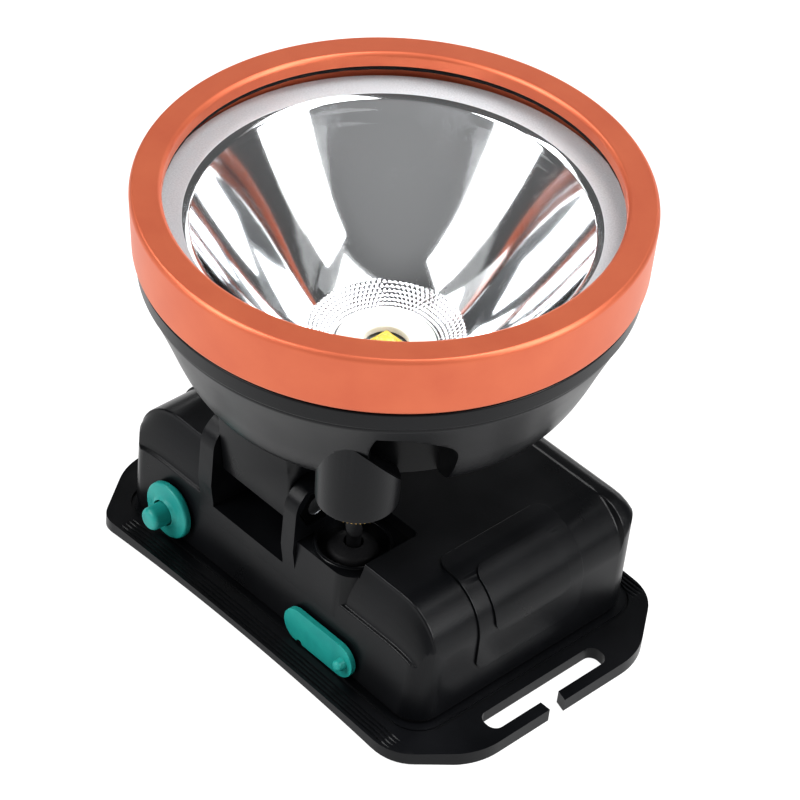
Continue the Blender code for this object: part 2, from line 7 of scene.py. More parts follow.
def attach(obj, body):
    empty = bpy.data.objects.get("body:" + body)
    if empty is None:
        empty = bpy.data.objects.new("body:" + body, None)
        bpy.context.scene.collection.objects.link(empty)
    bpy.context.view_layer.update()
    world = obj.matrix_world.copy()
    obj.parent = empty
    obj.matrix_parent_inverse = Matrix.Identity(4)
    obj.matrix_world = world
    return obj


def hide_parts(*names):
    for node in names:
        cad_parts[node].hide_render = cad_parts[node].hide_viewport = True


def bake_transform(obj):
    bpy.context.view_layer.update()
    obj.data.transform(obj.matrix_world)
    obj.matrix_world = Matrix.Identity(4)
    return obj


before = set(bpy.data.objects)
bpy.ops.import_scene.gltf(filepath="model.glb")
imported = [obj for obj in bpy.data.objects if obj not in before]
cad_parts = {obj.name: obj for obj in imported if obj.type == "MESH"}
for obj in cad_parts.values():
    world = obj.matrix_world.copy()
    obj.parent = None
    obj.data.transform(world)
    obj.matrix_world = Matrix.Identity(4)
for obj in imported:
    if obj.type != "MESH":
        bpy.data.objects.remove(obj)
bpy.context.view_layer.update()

mm = 0.001
plateMiddle = 5.45  # the plate's middle from the frame's own, along Y
hingeAt = (-21.5, 30.0)  # (y, z) from the plate's middle
faceAt = (19.08, 55.85)  # the bezel's face from the hinge, (y, z) before the rest tilt
restTilt = 3.14
basePose = Matrix.Translation((0, plateMiddle * mm, 0))  # on the plane that the plate stands on
hingePose = (Matrix.Translation((0, (plateMiddle + hingeAt[0]) * mm, hingeAt[1] * mm))
             @ Matrix.Rotation(math.radians(restTilt), 4, "X"))
lampPose = hingePose @ Matrix.Translation((0, faceAt[0] * mm, faceAt[1] * mm))  # beam along +Z


def hexColour(text):
    # sRGB hex to the linear values that the shader takes
    values = [int(text[i:i + 2], 16) / 255 for i in (1, 3, 5)]
    return tuple(v / 12.92 if v <= 0.04045 else ((v + 0.055) / 1.055) ** 2.4 for v in values) + (1.0,)


def addNode(tree, kind, inputs=None, stops=(), into=None, **settings):
    made = tree.nodes.new(kind)
    for key, value in settings.items():
        setattr(made, key, value)
    for key, value in (inputs or {}).items():
        if isinstance(value, bpy.types.NodeSocket):
            tree.links.new(value, made.inputs[key])
        else:
            made.inputs[key].default_value = value
    if stops:  # a colour ramp's (position, colour) pairs
        elements = made.color_ramp.elements
        elements.remove(elements[1])
        elements[0].position, elements[0].color = stops[0]
        for position, colour in stops[1:]:
            elements.new(position).color = colour
    if into:
        tree.links.new(made.outputs[0], into)
    return made


def newFinish(name, **sockets):
    finish = bpy.data.materials.new(name)
    finish.use_nodes = True
    tree = finish.node_tree
    shader = tree.nodes["Principled BSDF"]
    for key, value in sockets.items():
        shader.inputs[key.replace("_", " ")].default_value = value
    return finish, tree, shader


def grey(value):
    return (value, value, value, 1.0)


def perSize(size):
    # a pattern's scale from its real size in millimetres
    return 1 / (size * mm)


def mottle(low, high):
    # the stops that spread a noise between two colours
    return [(0.3, hexColour(low)), (0.7, hexColour(high))]


# Builders for the raw shapes, all in millimetres

def softLoop(corners, steps=4):
    # corners are (u, v) or (u, v, radius); a radius turns the corner into a small curve
    points = []
    for i, corner in enumerate(corners):
        here = Vector(corner[:2])
        radius = corner[2] if len(corner) > 2 else 0
        if radius <= 0:
            points.append(tuple(here))
            continue
        back = Vector(corners[i - 1][:2]) - here
        ahead = Vector(corners[(i + 1) % len(corners)][:2]) - here
        reach = min(radius, back.length * 0.49, ahead.length * 0.49)
        first, last = here + back.normalized() * reach, here + ahead.normalized() * reach
        for k in range(steps + 1):
            t = k / steps
            points.append(tuple(first * (1 - t) ** 2 + here * 2 * t * (1 - t) + last * t * t))
    return points


def loft(sections, closedRound=False):
    bm = bmesh.new()
    rings = [[bm.verts.new(point) for point in section] for section in sections]
    pairs = list(zip(rings, rings[1:])) + ([(rings[-1], rings[0])] if closedRound else [])
    for low, high in pairs:
        for i in range(len(low)):
            j = (i + 1) % len(low)
            bm.faces.new((low[i], low[j], high[j], high[i]))
    if not closedRound:
        bm.faces.new(rings[0])
        bm.faces.new(rings[-1])
    return bm


def prism(outline, low, high, axis="z", soft=0.0):
    # the outline runs across the axis, from low to high along it
    order = {"z": (0, 1, 2), "y": (0, 2, 1), "x": (2, 0, 1)}[axis]
    bm = loft([[tuple((u, v, w)[k] for k in order) for u, v in outline] for w in (low, high)])
    if soft:
        ends = [f for f in bm.faces if len(f.verts) > 4 or len(outline) == 4]
        edges = list({e for f in ends for e in f.edges}) if len(outline) > 4 else bm.edges[:]
        bmesh.ops.bevel(bm, geom=edges, offset=soft, segments=3, profile=0.6, affect="EDGES",
                        clamp_overlap=True)
    return bm


def arc(cu, cv, radius, start, end, steps):
    angles = [math.radians(start + (end - start) * i / steps) for i in range(steps + 1)]
    return [(cu + radius * math.cos(a), cv + radius * math.sin(a)) for a in angles]


def circle(cu, cv, radius, steps=48):
    return arc(cu, cv, radius, 0, 360 - 360 / steps, steps - 1)


def rounded(hu, hv, radius, cu=0.0, cv=0.0, steps=10):
    points = []
    for su, sv, start in ((1, 1, 0), (-1, 1, 90), (-1, -1, 180), (1, -1, 270)):
        points += arc(cu + su * (hu - radius), cv + sv * (hv - radius), radius, start, start + 90, steps)
    return points


def turned(profile, steps=160, centre=(0.0, 0.0)):
    # spins (radius, z) about a vertical axis; a profile that starts and ends at radius 0 closes onto it
    solid = min(r for r, z in profile) <= 0
    body = [p for p in profile if p[0] > 0] if solid else profile
    bm = bmesh.new()
    rings = []
    for k in range(steps):
        a = 2 * math.pi * k / steps
        rings.append([bm.verts.new((centre[0] + r * math.cos(a), centre[1] + r * math.sin(a), z))
                      for r, z in body])
    count = len(body)
    for k in range(steps):
        here, after = rings[k], rings[(k + 1) % steps]
        for i in range(count - 1 if solid else count):
            j = (i + 1) % count
            bm.faces.new((here[i], after[i], after[j], here[j]))
    if solid:
        for index, z in ((0, profile[0][1]), (count - 1, profile[-1][1])):
            tip = bm.verts.new((centre[0], centre[1], z))
            for k in range(steps):
                bm.faces.new((rings[k][index], rings[(k + 1) % steps][index], tip))
    return bm


def facing(bm, axis, at):
    turn = Matrix.Rotation(math.pi / 2, 3, {"x": "Y", "y": "X"}[axis])
    bmesh.ops.rotate(bm, verts=bm.verts, cent=(0, 0, 0), matrix=turn)
    bmesh.ops.translate(bm, verts=bm.verts, vec=at)
    return bm


def rawObject(name, bm, pose):
    bmesh.ops.remove_doubles(bm, verts=bm.verts, dist=1e-4)
    bmesh.ops.recalc_face_normals(bm, faces=bm.faces)
    bmesh.ops.scale(bm, verts=bm.verts, vec=(mm, mm, mm))
    mesh = bpy.data.meshes.new(name)
    bm.to_mesh(mesh)
    bm.free()
    obj = bpy.data.objects.new(name, mesh)
    obj.matrix_world = pose
    bpy.context.collection.objects.link(obj)
    return obj


def carve(obj, operation, bm, pose):
    # one exact Boolean, applied at once
    helper = rawObject("helper", bm, pose)
    modifier = obj.modifiers.new("carve", "BOOLEAN")
    modifier.operation = operation
    modifier.solver = "EXACT"
    modifier.object = helper
    applyAll(obj)
    bpy.data.objects.remove(helper)


def shapeOf(obj):
    # hands an object's mesh on in millimetres and removes the object
    bm = bmesh.new()
    bm.from_mesh(obj.data)
    bmesh.ops.scale(bm, verts=bm.verts, vec=(1000, 1000, 1000))
    bpy.data.objects.remove(obj)
    return bm


def applyAll(obj):
    bpy.context.view_layer.update()
    graph = bpy.context.evaluated_depsgraph_get()
    mesh = bpy.data.meshes.new_from_object(obj.evaluated_get(graph))
    obj.modifiers.clear()
    old = obj.data
    obj.data = mesh
    bpy.data.meshes.remove(old)


def softenEdges(obj, width, angle=38, segments=2):
    modifier = obj.modifiers.new("soft edges", "BEVEL")
    modifier.width = width * mm
    modifier.segments = segments
    modifier.limit_method = "ANGLE"
    modifier.angle_limit = math.radians(angle)
    modifier.use_clamp_overlap = True
    applyAll(obj)


def finishPiece(obj, finish, body, nodes=(), angle=32):
    obj.data.materials.clear()
    obj.data.materials.append(finish)
    obj.data.shade_smooth()
    obj.data.set_sharp_from_angle(angle=math.radians(angle))
    even = obj.modifiers.new("even normals", "WEIGHTED_NORMAL")  # keeps the wide faces flat beside soft edges
    even.keep_sharp = True
    applyAll(obj)
    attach(obj, body)
    if nodes:
        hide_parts(*nodes)
    return obj


# Camera, light and floor

view = {
    "place": (0.28071, -0.29947, 0.37594),
    "right": (0.68353, 0.72445, 0.08914),
    "up": (-0.50765, 0.38408, 0.77122),
    "back": (0.52448, -0.57241, 0.6303),
    "lens": 138.37,
}


def setCamera():
    data = bpy.data.cameras.new("camera")
    data.sensor_width = 36
    data.lens = view["lens"]
    data.clip_end = 20
    camera = bpy.data.objects.new("camera", data)
    axes = Matrix((view["right"], view["up"], view["back"])).transposed().to_4x4()
    camera.matrix_world = Matrix.Translation(view["place"]) @ axes
    bpy.context.collection.objects.link(camera)
    bpy.context.scene.camera = camera


def softBox(name, place, target, size, power, tint="#ffffff"):
    data = bpy.data.lights.new(name, "AREA")
    data.shape = "RECTANGLE"
    data.size, data.size_y = size
    data.energy = power
    data.color = hexColour(tint)[:3]
    light = bpy.data.objects.new(name, data)
    light.location = place
    light.rotation_euler = (Vector(target) - Vector(place)).to_track_quat("-Z", "Y").to_euler()
    bpy.context.collection.objects.link(light)


def fromSky(azimuth, elevation, distance):
    # azimuth is turned from the long side with the button towards the port's end
    a, e = math.radians(azimuth), math.radians(elevation)
    return Vector((math.sin(a) * math.cos(e), -math.cos(a) * math.cos(e), math.sin(e))) * distance


def setStudio():
    scene = bpy.context.scene
    scene.view_settings.view_transform = "Standard"
    scene.view_settings.look = "Medium High Contrast"
    world = bpy.data.worlds.new("studio")
    world.use_nodes = True
    tree = world.node_tree
    sky = tree.nodes["Background"]
    # the room is mid grey on the working side and darker elsewhere, which gives the reflector its bands
    spread = addNode(tree, "ShaderNodeTexCoord")
    side = addNode(tree, "ShaderNodeVectorMath",
                   {0: spread.outputs["Generated"], 1: tuple(fromSky(40, 15, 1))}, operation="DOT_PRODUCT")
    addNode(tree, "ShaderNodeValToRGB", {"Fac": side.outputs["Value"]}, into=sky.inputs["Color"],
            stops=[(0.0, grey(0.10)), (0.45, grey(0.12)), (0.75, grey(0.26)), (1.0, grey(0.3))])
    scene.world = world
    middle = (0, 0, 0.07)
    softBox("leftBox", fromSky(-23, 36, 1.2), middle, (0.48, 0.85), 10)
    softBox("farLeftBox", fromSky(-66, 48, 1.2), middle, (0.38, 0.35), 3.2)
    softBox("rightBox", fromSky(109, 32, 1.2), middle, (0.5, 0.8), 10)
    softBox("farRightBox", fromSky(125, 70, 1.2), middle, (0.6, 0.6), 8)
    softBox("backBox", fromSky(-150, 16, 1.6), middle, (1.6, 0.4), 5)
    ground = bmesh.new()
    bmesh.ops.create_grid(ground, x_segments=1, y_segments=1, size=3000)
    floor = rawObject("floor", ground, Matrix.Translation((0, 0, -0.0002)))
    paper, tree, shader = newFinish("seamlessPaper", Roughness=0.9, Specular_IOR_Level=0.1)
    # seamless background paper, lit through from below like a light table, so it shows almost no shadow
    spread = addNode(tree, "ShaderNodeTexCoord")
    fibre = addNode(tree, "ShaderNodeTexNoise",
                    {"Vector": spread.outputs["Object"], "Scale": perSize(25), "Detail": 3.0})
    addNode(tree, "ShaderNodeValToRGB", {"Fac": fibre.outputs["Fac"]}, mottle("#787878", "#7c7c7c"),
            shader.inputs["Base Color"])
    shader.inputs["Emission Color"].default_value = grey(1.0)
    # it fades away from the middle, as the edge of a light table does
    away = addNode(tree, "ShaderNodeVectorMath", {0: spread.outputs["Object"]}, operation="LENGTH")
    addNode(tree, "ShaderNodeMapRange",
            {"Value": away.outputs["Value"], "From Min": 0.3, "From Max": 0.8, "To Min": 0.8, "To Max": 0.3},
            into=shader.inputs["Emission Strength"], interpolation_type="SMOOTHSTEP")
    floor.data.materials.append(paper)


setCamera()
setStudio()
print("camera, light and floor are set")


def grain(tree, shader, size, depth):
    # a fine moulded or blasted grain as a bump, size and depth in mm
    spread = addNode(tree, "ShaderNodeTexCoord")
    noise = addNode(tree, "ShaderNodeTexNoise", {"Vector": spread.outputs["Object"], "Scale": perSize(size)})
    addNode(tree, "ShaderNodeBump", {"Height": noise.outputs["Fac"], "Strength": 1.0, "Distance": depth * mm},
            into=shader.inputs["Normal"])
    return spread, noise


def mouldedAbs():
    # ABS moulded in a lightly blasted tool: near-black, satin, with broad soft highlights and faint rub marks
    finish, tree, shader = newFinish("mouldedAbs", IOR=1.54, Roughness=0.33, Specular_IOR_Level=0.2)
    spread, noise = grain(tree, shader, 0.35, 0.012)
    smear = addNode(tree, "ShaderNodeTexNoise",
                    {"Vector": spread.outputs["Object"], "Scale": perSize(14.3), "Detail": 5.0})
    addNode(tree, "ShaderNodeMapRange",
            {"Value": smear.outputs["Fac"], "From Min": 0.3, "From Max": 0.7, "To Min": 0.27, "To Max": 0.37},
            into=shader.inputs["Roughness"])
    addNode(tree, "ShaderNodeValToRGB", {"Fac": smear.outputs["Fac"]}, mottle("#0b0c0e", "#101114"),
            shader.inputs["Base Color"])
    return finish


def anodisedAluminium():
    # turned aluminium, bead-blasted and dyed orange-copper: satin metal with faint lathe rings
    finish, tree, shader = newFinish("anodisedAluminium", Metallic=0.6, Roughness=0.42)
    feed = 0.3 * mm  # coarser than a real lathe's, so that the rings show
    spread = addNode(tree, "ShaderNodeTexCoord")
    flat = addNode(tree, "ShaderNodeVectorMath", {0: spread.outputs["Object"], 1: (1, 1, 0)},
                   operation="MULTIPLY")
    radius = addNode(tree, "ShaderNodeVectorMath", {0: flat.outputs["Vector"]}, operation="LENGTH")
    axis = addNode(tree, "ShaderNodeSeparateXYZ", {"Vector": spread.outputs["Object"]})
    along = addNode(tree, "ShaderNodeMath", {0: radius.outputs["Value"], 1: axis.outputs["Z"]},
                    operation="SUBTRACT")
    turns = addNode(tree, "ShaderNodeMath", {0: along.outputs["Value"], 1: 2 * math.pi / feed},
                    operation="MULTIPLY")
    ring = addNode(tree, "ShaderNodeMath", {0: turns.outputs["Value"]}, operation="SINE")
    dust = addNode(tree, "ShaderNodeTexNoise", {"Vector": spread.outputs["Object"], "Scale": perSize(0.4)})
    height = addNode(tree, "ShaderNodeMath", {0: ring.outputs["Value"], 1: 0.25, 2: dust.outputs["Fac"]},
                     operation="MULTIPLY_ADD")
    addNode(tree, "ShaderNodeBump",
            {"Height": height.outputs["Value"], "Strength": 0.6, "Distance": 0.004 * mm},
            into=shader.inputs["Normal"])
    cloud = addNode(tree, "ShaderNodeTexNoise",
                    {"Vector": spread.outputs["Object"], "Scale": perSize(11.1), "Detail": 4.0})
    addNode(tree, "ShaderNodeValToRGB", {"Fac": cloud.outputs["Fac"]}, mottle("#c8694c", "#d07252"),
            shader.inputs["Base Color"])
    return finish


dimples = {"row": 0.68, "around": 90, "bandEnd": 13.4, "bandFade": 13.7, "depth": 0.12}


def metallisedReflector():
    # plastic with aluminium evaporated onto it: a mirror, with a faint ripple and a band of dimples
    finish, tree, shader = newFinish("metallisedReflector", Metallic=1.0, Roughness=0.07)
    shader.inputs["Base Color"].default_value = hexColour("#eceef0")
    spread = addNode(tree, "ShaderNodeTexCoord")
    part = addNode(tree, "ShaderNodeSeparateXYZ", {"Vector": spread.outputs["Object"]})
    turn = addNode(tree, "ShaderNodeMath", {0: part.outputs["Y"], 1: part.outputs["X"]}, operation="ARCTAN2")
    count = addNode(tree, "ShaderNodeMath", {0: turn.outputs["Value"], 1: dimples["around"] / (2 * math.pi)},
                    operation="MULTIPLY")
    flat = addNode(tree, "ShaderNodeVectorMath", {0: spread.outputs["Object"], 1: (1, 1, 0)},
                   operation="MULTIPLY")
    radius = addNode(tree, "ShaderNodeVectorMath", {0: flat.outputs["Vector"]}, operation="LENGTH")
    rows = addNode(tree, "ShaderNodeMath", {0: radius.outputs["Value"], 1: perSize(dimples["row"])},
                   operation="MULTIPLY")
    half = addNode(tree, "ShaderNodeMath", {0: rows.outputs["Value"]}, operation="FLOOR")
    shift = addNode(tree, "ShaderNodeMath", {0: half.outputs["Value"], 1: 0.5, 2: count.outputs["Value"]},
                    operation="MULTIPLY_ADD")  # each row is half a dimple on from the last
    u = addNode(tree, "ShaderNodeMath", {0: shift.outputs["Value"]}, operation="FRACT")
    v = addNode(tree, "ShaderNodeMath", {0: rows.outputs["Value"]}, operation="FRACT")
    cell = addNode(tree, "ShaderNodeCombineXYZ", {"X": u.outputs["Value"], "Y": v.outputs["Value"]})
    away = addNode(tree, "ShaderNodeVectorMath", {0: cell.outputs["Vector"], 1: (0.5, 0.5, 0)},
                   operation="DISTANCE")
    dome = addNode(tree, "ShaderNodeMapRange",
                   {"Value": away.outputs["Value"], "From Min": 0.0, "From Max": 0.6, "To Min": 1.0,
                    "To Max": 0.0}, interpolation_type="SMOOTHSTEP")
    band = addNode(tree, "ShaderNodeMapRange",
                   {"Value": radius.outputs["Value"], "From Min": dimples["bandEnd"] * mm,
                    "From Max": dimples["bandFade"] * mm, "To Min": 1.0, "To Max": 0.0})
    dimple = addNode(tree, "ShaderNodeMath", {0: dome.outputs["Result"], 1: band.outputs["Result"]},
                     operation="MULTIPLY")
    ripple = addNode(tree, "ShaderNodeTexNoise",
                     {"Vector": spread.outputs["Object"], "Scale": perSize(9.1), "Detail": 1.0})
    height = addNode(tree, "ShaderNodeMath", {0: ripple.outputs["Fac"], 1: 0.12, 2: dimple.outputs["Value"]},
                     operation="MULTIPLY_ADD")
    addNode(tree, "ShaderNodeBump",
            {"Height": height.outputs["Value"], "Strength": 1.0, "Distance": dimples["depth"] * mm},
            into=shader.inputs["Normal"])
    return finish


def satinRim():
    # the reflector's flat rim, metallised over a blasted face: pale, hazy grey
    finish, tree, shader = newFinish("satinRim", Metallic=0.15, Roughness=0.45)
    spread, noise = grain(tree, shader, 0.3, 0.02)
    addNode(tree, "ShaderNodeValToRGB", {"Fac": noise.outputs["Fac"]}, mottle("#b9bcc0", "#cbced1"),
            shader.inputs["Base Color"])
    return finish


def toughenedGlass():
    # clear float glass: almost unseen square on, and a pale sheen where it is looked along
    finish, tree, shader = newFinish("toughenedGlass", IOR=1.2, Roughness=0.0)
    shader.inputs["Transmission Weight"].default_value = 1.0
    spread = addNode(tree, "ShaderNodeTexCoord")
    cloud = addNode(tree, "ShaderNodeTexNoise", {"Vector": spread.outputs["Object"], "Scale": perSize(33.3)})
    addNode(tree, "ShaderNodeValToRGB", {"Fac": cloud.outputs["Fac"]}, mottle("#fafcfc", "#ffffff"),
            shader.inputs["Base Color"])
    facing = addNode(tree, "ShaderNodeLayerWeight", {"Blend": 0.3})
    addNode(tree, "ShaderNodeMapRange",
            {"Value": facing.outputs["Facing"], "From Min": 0.3, "From Max": 1.0, "To Min": 0.02,
             "To Max": 0.5}, into=shader.inputs["Alpha"])
    return finish


def siliconeRubber(name, low, high, glow):
    # moulded silicone: soft sheen, a little light carried inside, fine dust marks
    finish, tree, shader = newFinish(name, IOR=1.41, Roughness=0.42)
    shader.inputs["Subsurface Weight"].default_value = glow
    shader.inputs["Subsurface Radius"].default_value = (0.5, 1.0, 0.9)
    shader.inputs["Subsurface Scale"].default_value = 1.2 * mm
    spread, noise = grain(tree, shader, 0.5, 0.02)
    cloud = addNode(tree, "ShaderNodeTexNoise",
                    {"Vector": spread.outputs["Object"], "Scale": perSize(3.85), "Detail": 4.0})
    addNode(tree, "ShaderNodeValToRGB", {"Fac": cloud.outputs["Fac"]}, mottle(low, high),
            shader.inputs["Base Color"])
    return finish


def blackRubber():
    # moulded black rubber: matt, slightly grey where it is rubbed
    finish, tree, shader = newFinish("blackRubber", IOR=1.5, Roughness=0.6, Specular_IOR_Level=0.2)
    spread, noise = grain(tree, shader, 0.4, 0.03)
    addNode(tree, "ShaderNodeValToRGB", {"Fac": noise.outputs["Fac"]}, mottle("#0c0c0e", "#131315"),
            shader.inputs["Base Color"])
    return finish


def bareMetal(name, low, high, rough):
    # bare or plated metal with fine drawn scratches, 0.25 mm wide so that they show
    finish, tree, shader = newFinish(name, Metallic=1.0, Roughness=rough)
    spread = addNode(tree, "ShaderNodeTexCoord")
    drawn = addNode(tree, "ShaderNodeMapping", {"Vector": spread.outputs["Object"], "Scale": (0.15, 1, 1)})
    lines = addNode(tree, "ShaderNodeTexNoise",
                    {"Vector": drawn.outputs["Vector"], "Scale": perSize(0.25), "Detail": 3.0})
    addNode(tree, "ShaderNodeBump", {"Height": lines.outputs["Fac"], "Strength": 0.5, "Distance": 0.006 * mm},
            into=shader.inputs["Normal"])
    addNode(tree, "ShaderNodeValToRGB", {"Fac": lines.outputs["Fac"]}, mottle(low, high),
            shader.inputs["Base Color"])
    return finish


def solderMask():
    # glass-epoxy board under green solder mask, with paler copper tracks showing through
    finish, tree, shader = newFinish("solderMask", IOR=1.5, Roughness=0.3)
    spread = addNode(tree, "ShaderNodeTexCoord")
    addNode(tree, "ShaderNodeTexBrick",
            {"Vector": spread.outputs["Object"], "Scale": perSize(3.33), "Mortar Size": 0.03,
             "Color1": hexColour("#0f5a34"), "Color2": hexColour("#0c4d2c"), "Mortar": hexColour("#2c8a55")},
            into=shader.inputs["Base Color"])
    return finish


def shrinkWrap():
    # PVC shrink sleeve over a lithium cell: glossy blue with slight puckers
    finish, tree, shader = newFinish("shrinkWrap", IOR=1.53, Roughness=0.25)
    spread, noise = grain(tree, shader, 2.5, 0.05)
    addNode(tree, "ShaderNodeValToRGB", {"Fac": noise.outputs["Fac"]}, mottle("#1d3f86", "#25509f"),
            shader.inputs["Base Color"])
    return finish


def phosphor():
    # LED die under yellow phosphor and a clear silicone dome
    finish, tree, shader = newFinish("phosphor", IOR=1.45, Roughness=0.25)
    spread, noise = grain(tree, shader, 0.2, 0.01)
    addNode(tree, "ShaderNodeValToRGB", {"Fac": noise.outputs["Fac"]}, mottle("#e8c64a", "#f2d873"),
            shader.inputs["Base Color"])
    return finish


blackAbs = mouldedAbs()
copper = anodisedAluminium()
mirror = metallisedReflector()
rimHaze = satinRim()
glass = toughenedGlass()
teal = siliconeRubber("tealSilicone", "#1b8681", "#26968e", 0.25)
cream = siliconeRubber("creamSilicone", "#e9e7e0", "#f4f3ee", 0.1)
rubber = blackRubber()
steel = bareMetal("platedSteel", "#a9abae", "#c4c6c8", 0.3)
# the hinge nut's steel: drawn much darker and a little rougher than the plated steel
darkNutSteel = bareMetal("darkSteel", "#1c1d1f", "#2a2b2e", 0.4)
brass = bareMetal("turnedBrass", "#c39a4a", "#d8b264", 0.25)
aluminium = bareMetal("milledAluminium", "#b9bbbe", "#cfd1d3", 0.35)
print("finishes are made")

plate = {"halfX": 47.25, "halfY": 32.5, "chamferX": 38.1, "chamferY": 19.8, "edge": 2.65, "archHalf": 45.0,
         "underArch": 2.6, "topArch": 1.35, "slotsX": ((-45.5, -41.2), (40.8, 45.0)), "slotY": 14.3,
         "ribY": 28.9, "ribPitch": 0.85, "ribDeep": 0.3, "ribsFrom": -34.0, "ribsTo": 37.0, "lipDeep": 0.35,
         "soft": 0.4}


def arch(x, height):
    return height * max(0.0, 1 - (x / plate["archHalf"]) ** 2)


def plateTop(x):
    return plate["edge"] + arch(x, plate["topArch"])


def plateOutline(inset=0.0):
    px, py = plate["halfX"] - inset, plate["halfY"] - inset
    cx, cy = plate["chamferX"] - inset * 0.4, plate["chamferY"] - inset * 0.4
    corners = []
    for sx, sy in ((1, 1), (-1, 1), (-1, -1), (1, -1)):
        pair = [(sx * px, sy * cy, 4.5), (sx * cx, sy * py, 4.5 if sx > 0 else 2.6)]
        corners += pair if sx * sy > 0 else pair[::-1]
    return softLoop(corners, 8)


def basePlate():
    first, last, deep = plate["ribsFrom"], plate["ribsTo"], plate["ribDeep"]
    xs = [-48.5, -45.0, first, first + 2, last - 2, last, 45.0, 48.5]
    xs = sorted(xs + [-45 + 90 * i / 44 for i in range(1, 44)])
    ridges = []
    for k in range(4):  # fine ribs along the long edges of the flange
        y = plate["ribY"] + k * plate["ribPitch"]
        ridges += [(y, 0.0), (y + 0.12, -deep), (y + 0.38, -deep), (y + 0.5, 0.0)]
    sections = []
    for x in xs:
        low, high = arch(x, plate["underArch"]), plateTop(x)
        ends = min(1.0, max(0.0, (x - first) / 2), max(0.0, (last - x) / 2))
        top = [(-y, high + d * ends) for y, d in reversed(ridges)]
        top = [(-33.5, high)] + top + [(y, high + d * ends) for y, d in ridges] + [(33.5, high)]
        sections.append([(x, 33.5, low), (x, -33.5, low)] + [(x, y, z) for y, z in top])
    obj = rawObject("basePlate", loft(sections), basePose)
    carve(obj, "INTERSECT", prism(plateOutline(), -2, 8), basePose)
    for side, (x0, x1) in zip((-1, 1), plate["slotsX"]):
        slit = [(44, -3), (49, -3), (49, 0.2), (44, 1.7)]
        slot = rounded((x1 - x0) / 2, plate["slotY"], 1.8, (x0 + x1) / 2, 0)
        carve(obj, "DIFFERENCE", prism(slot, -2, 8), basePose)
        carve(obj, "DIFFERENCE", prism([(side * x, y) for x, y in slit], -2, 8), basePose)
    # the lip line that runs round the box
    track = rawObject("track", prism(boxed(rounded(38.9, 27.6, 6.5), 1.04), 0, 9), basePose)
    carve(track, "DIFFERENCE", prism(boxed(rounded(38.2, 26.9, 5.8), 1.04), -1, 10), basePose)
    cap = []
    for x in xs:
        z = plateTop(x) - plate["lipDeep"]
        cap.append([(x, -33.5, z), (x, 33.5, z), (x, 33.5, z + 5), (x, -33.5, z + 5)])
    carve(track, "INTERSECT", loft(cap), basePose)
    carve(obj, "DIFFERENCE", shapeOf(track), basePose)
    for centre in screwPlaces:
        hole = [(0, 8), (1.2, 8), (1.2, 2.7), (2.3, 2.7), (2.3, -2), (0, -2)]
        carve(obj, "DIFFERENCE", turned(hole, 40, centre), basePose)
    softenEdges(obj, plate["soft"], 50, 3)
    finishPiece(obj, blackAbs, "base", ["base_plate"])


shell = {"x": 37.1, "y": 26.0, "top": 26.67, "corner": 5.5, "end": 9.5, "creaseY": 25.5, "creaseZ": 17.4,
         "creaseTopY": 22.7, "step": 0.65, "foot": 1.0, "leftStretch": 1.0863, "backY": 28.0, "backFillet": 3.6,
         "backEnd": 7.0, "backStep": 0.3, "screwX": 34.2, "screwY": 20.0, "lugRadius": 5.1, "hingeBore": 2.3,
         "wellAt": (11.2, -18.4), "soft": 0.28}
screwPlaces = [(x, y) for x in (-shell["screwX"] * shell["leftStretch"], shell["screwX"])
               for y in (-shell["screwY"], shell["screwY"])]


def boxed(points, left=shell["leftStretch"]):
    # the box reaches further towards the button's end and further back than its middle lines say
    return [(x * left if x < 0 else x, y * shell["backY"] / shell["y"] if y > 0 else y)
            for x, y in points]


def shellSection(x):
    end = shell["x"] - shell["end"]
    past = min(max(0.0, abs(x) - end), shell["end"])
    top = shell["top"] - shell["end"] + math.sqrt(shell["end"] ** 2 - past ** 2)
    drop = shell["top"] - top
    crease = min(shell["creaseZ"] - 0.35 * drop, top - 1.0)
    rise = top - shell["step"] - crease
    y, step = shell["creaseY"], shell["step"]
    half = [
        (shell["y"], plateTop(x) + shell["foot"]),
        (y, crease, 0.5),
        (y - step, crease + 0.1, 0.35),
        (y - step - 0.25, crease + 0.1 + 0.3 * rise, 1.5),
        (y - step - 0.95, crease + 0.1 + 0.65 * rise, 1.5),
        (shell["creaseTopY"], top - step, 0.35),
        (shell["creaseTopY"] - 0.1, top, 0.5),
    ]
    past = min(max(0.0, abs(x) - (shell["x"] - shell["backEnd"])), shell["backEnd"])
    shoulder = shell["top"] - shell["backStep"] - shell["backEnd"]
    shoulder += math.sqrt(shell["backEnd"] ** 2 - past ** 2)
    fillet = shell["backFillet"]
    back = [(shell["creaseTopY"] - 0.1, top, 0.4), (shell["creaseTopY"] + 0.35, shoulder, 0.3)]
    back += arc(shell["backY"] - fillet, shoulder - fillet, fillet, 90, 0, 10)
    back += [(shell["backY"], plateTop(x) + shell["foot"])]
    across = softLoop([(-p[0], *p[1:]) for p in half] + back, 3)
    return [(x * shell["leftStretch"] if x < 0 else x, u, v) for u, v in across]


def shellBody():
    fractions = [0] + [math.sin(math.radians(a)) for a in (12, 24, 35, 45, 54, 62, 70, 77, 84, 90)]
    ends = [shell["x"] - shell["end"] + shell["end"] * f for f in fractions]
    xs = sorted({-x for x in ends} | set(ends) | {-20.0, -10.0, 0.0, 10.0, 20.0, -37.7, 37.7})
    return loft([shellSection(x) for x in xs])


silicone = {"buttonAt": (-26.8, 9.6), "buttonY": -24.4, "portAt": (15.0, 7.5), "plugEnds": (5.0, 22.3),
            "plugRadius": 3.4, "nubX": 20.0, "notchAt": (9.2, 3.9)}


